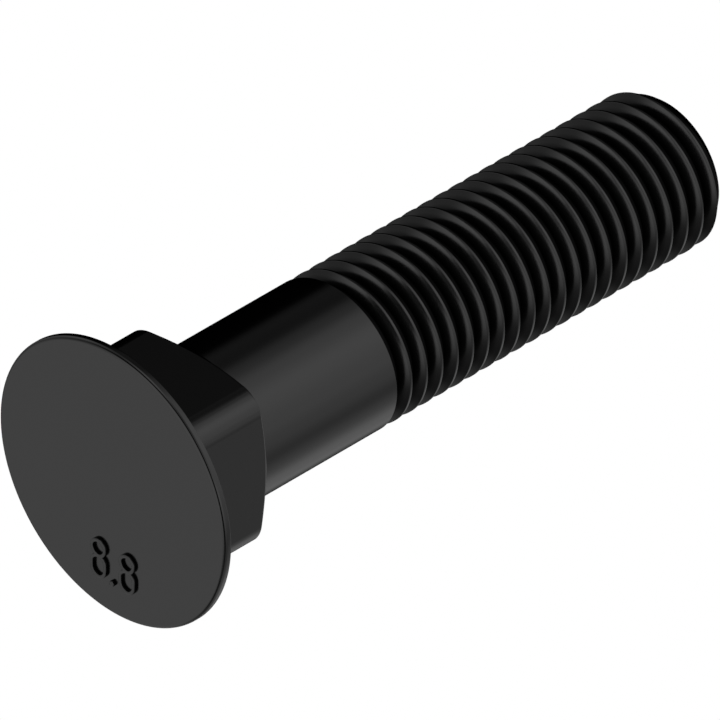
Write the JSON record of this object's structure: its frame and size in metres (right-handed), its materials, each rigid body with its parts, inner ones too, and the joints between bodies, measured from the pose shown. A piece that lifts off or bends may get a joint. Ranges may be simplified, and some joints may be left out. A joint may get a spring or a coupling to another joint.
{
  "type": "plow bolt",
  "caption": "Plow bolt: thin flat countersunk head with a short square neck that keys into its hole, plain shank and coarse right-hand thread.",
  "frame": {"origin": "centre of the head's flat outer face, on which the bolt stands", "axes": "+Z along the bolt from the head to the threaded tip; X and Y square to the flats of the neck"},
  "size_m": [0.0366, 0.0366, 0.09],
  "materials": {
    "black_steel": "black oxide on forged and rolled steel, satin"
  },
  "bodies": {
    "root": {"plow_bolt": "black_steel"}
  },
  "joints": []
}
